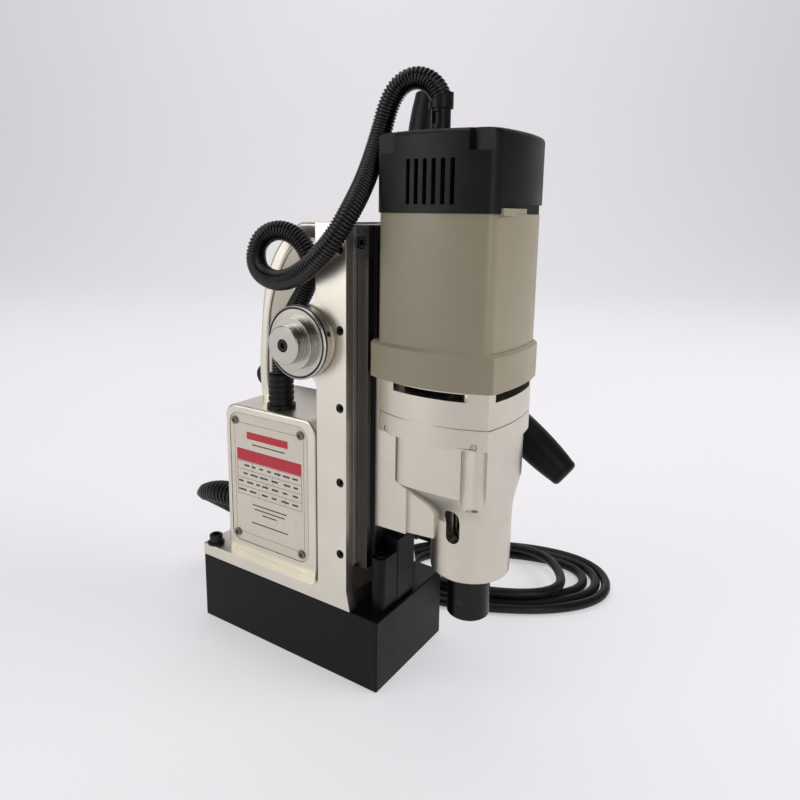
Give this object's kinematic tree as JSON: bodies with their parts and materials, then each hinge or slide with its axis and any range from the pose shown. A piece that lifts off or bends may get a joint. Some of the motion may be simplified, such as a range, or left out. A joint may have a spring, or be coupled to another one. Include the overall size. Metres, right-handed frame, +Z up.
{
  "type": "magnetic drill press",
  "caption": "Portable magnetic-base drilling machine: switchable magnet foot, dovetail column, rack-fed drill head with capstan handles, tool spindle, flexible conduit and mains lead.",
  "frame": {"origin": "centre of the magnet's holding face", "axes": "+Z up along the column and the feed, -Y to the drill spindle, +Y to the mains lead, +X to the capstan and switches"},
  "size_m": [0.2805, 0.3357, 0.4051],
  "materials": {
    "magnet_black": "satin black painted steel",
    "casting_silver": "satin cast and linished aluminium",
    "steel_bright": "turned bright steel",
    "steel_black": "black oxide steel",
    "slide_black": "black anodised, satin",
    "housing_grey": "fine satin moulded beige-grey",
    "cap_black": "satin moulded black",
    "rubber_black": "matt rubber",
    "conduit_black": "semi-gloss corrugated nylon",
    "label_silver": "printed satin aluminium",
    "copper": "enamelled copper",
    "brass": "drawn brass",
    "bronze": "sintered bronze",
    "resin_dark": "potting resin",
    "board_green": "circuit board",
    "button_green": "moulded gloss",
    "button_red": "moulded gloss",
    "lens_amber": "clear amber lens",
    "carbon": "pressed carbon",
    "gear_steel": "hobbed steel"
  },
  "bodies": {
    "stand": {"magnet_housing": "magnet_black", "magnet_coils": "copper", "magnet_potting": "resin_dark", "stand_frame": "casting_silver", "carry_handle": "casting_silver", "gib_strips": "steel_bright", "gib_set_screws": "steel_black", "base_screws": "steel_black", "front_stop_block": "steel_black", "feed_bushes": "bronze", "name_plate": "label_silver", "name_plate_screws": "steel_bright", "switch_panel": "label_silver", "panel_screws": "steel_black", "switch_bodies": "cap_black", "pilot_lens": "lens_amber", "control_board": "board_green", "conduit_gland": "cap_black", "conduit": "conduit_black", "cord_boot": "rubber_black", "mains_cord": "rubber_black", "mains_cord_coil": "rubber_black", "mains_plug": "rubber_black", "plug_pins": "brass"},
    "start_button": {"start_button": "button_green"},
    "stop_button": {"stop_button": "button_red"},
    "magnet_rocker": {"magnet_rocker": "button_red"},
    "drill_head": {"slide": "slide_black", "rack": "gear_steel", "slide_top_block": "slide_black", "top_block_screw": "steel_black", "gear_case": "casting_silver", "gear_plate": "casting_silver", "motor_housing": "housing_grey", "motor_end_cap": "cap_black", "motor_screws": "steel_black", "stator_core": "gear_steel", "field_coils": "copper", "brush_boxes": "brass", "carbon_brushes": "carbon", "spindle_bearings": "steel_bright", "shaft_bearings": "steel_bright", "spindle_seal": "rubber_black", "conduit_fitting": "cap_black"},
    "armature": {"armature_shaft": "gear_steel", "armature_core": "gear_steel", "commutator": "copper", "cooling_fan": "cap_black"},
    "layshaft": {"layshaft": "gear_steel"},
    "spindle": {"spindle": "gear_steel", "spindle_gear": "gear_steel", "arbor": "steel_black", "arbor_screws": "steel_black"},
    "feed_capstan": {"feed_shaft": "gear_steel", "left_hub": "steel_bright", "o_rings": "rubber_black", "hub_screws": "steel_black", "capstan_hub": "steel_bright", "spokes": "steel_bright", "grips": "cap_black"}
  },
  "joints": [
    {"name": "head_slide", "type": "slide", "parent": "stand", "child": "drill_head", "axis": [0, 0, 1], "range_m": [-0.01, 0.1], "deforming": ["conduit"]},
    {"name": "feed_turn", "type": "hinge", "parent": "stand", "child": "feed_capstan", "pos_m": [0, -0.024, 0.234], "axis": [1, 0, 0], "range_deg": [-410, 42]},
    {"name": "armature_spin", "type": "hinge", "parent": "drill_head", "child": "armature", "pos_m": [0, -0.112, 0.25], "axis": [0, 0, 1], "continuous": true},
    {"name": "layshaft_spin", "type": "hinge", "parent": "drill_head", "child": "layshaft", "pos_m": [0.0177, -0.11525, 0.18], "axis": [0, 0, 1], "continuous": true},
    {"name": "spindle_spin", "type": "hinge", "parent": "drill_head", "child": "spindle", "pos_m": [0, -0.127, 0.12], "axis": [0, 0, 1], "continuous": true},
    {"name": "start_press", "type": "slide", "parent": "stand", "child": "start_button", "axis": [-1, 0, 0], "range_m": [0, 0.003], "stiffness_N_per_m": 600},
    {"name": "stop_press", "type": "slide", "parent": "stand", "child": "stop_button", "axis": [-1, 0, 0], "range_m": [0, 0.003], "stiffness_N_per_m": 600},
    {"name": "magnet_switch", "type": "hinge", "parent": "stand", "child": "magnet_rocker", "pos_m": [0.0285, 0.019, 0.096], "axis": [0, 0, 1], "range_deg": [0, 14]}
  ],
  "couplings": [
    {"joint": "feed_turn", "follows": "head_slide", "rad_per_m": -71.429},
    {"joint": "layshaft_spin", "follows": "armature_spin", "ratio": -0.33333},
    {"joint": "spindle_spin", "follows": "armature_spin", "ratio": 0.13889}
  ]
}
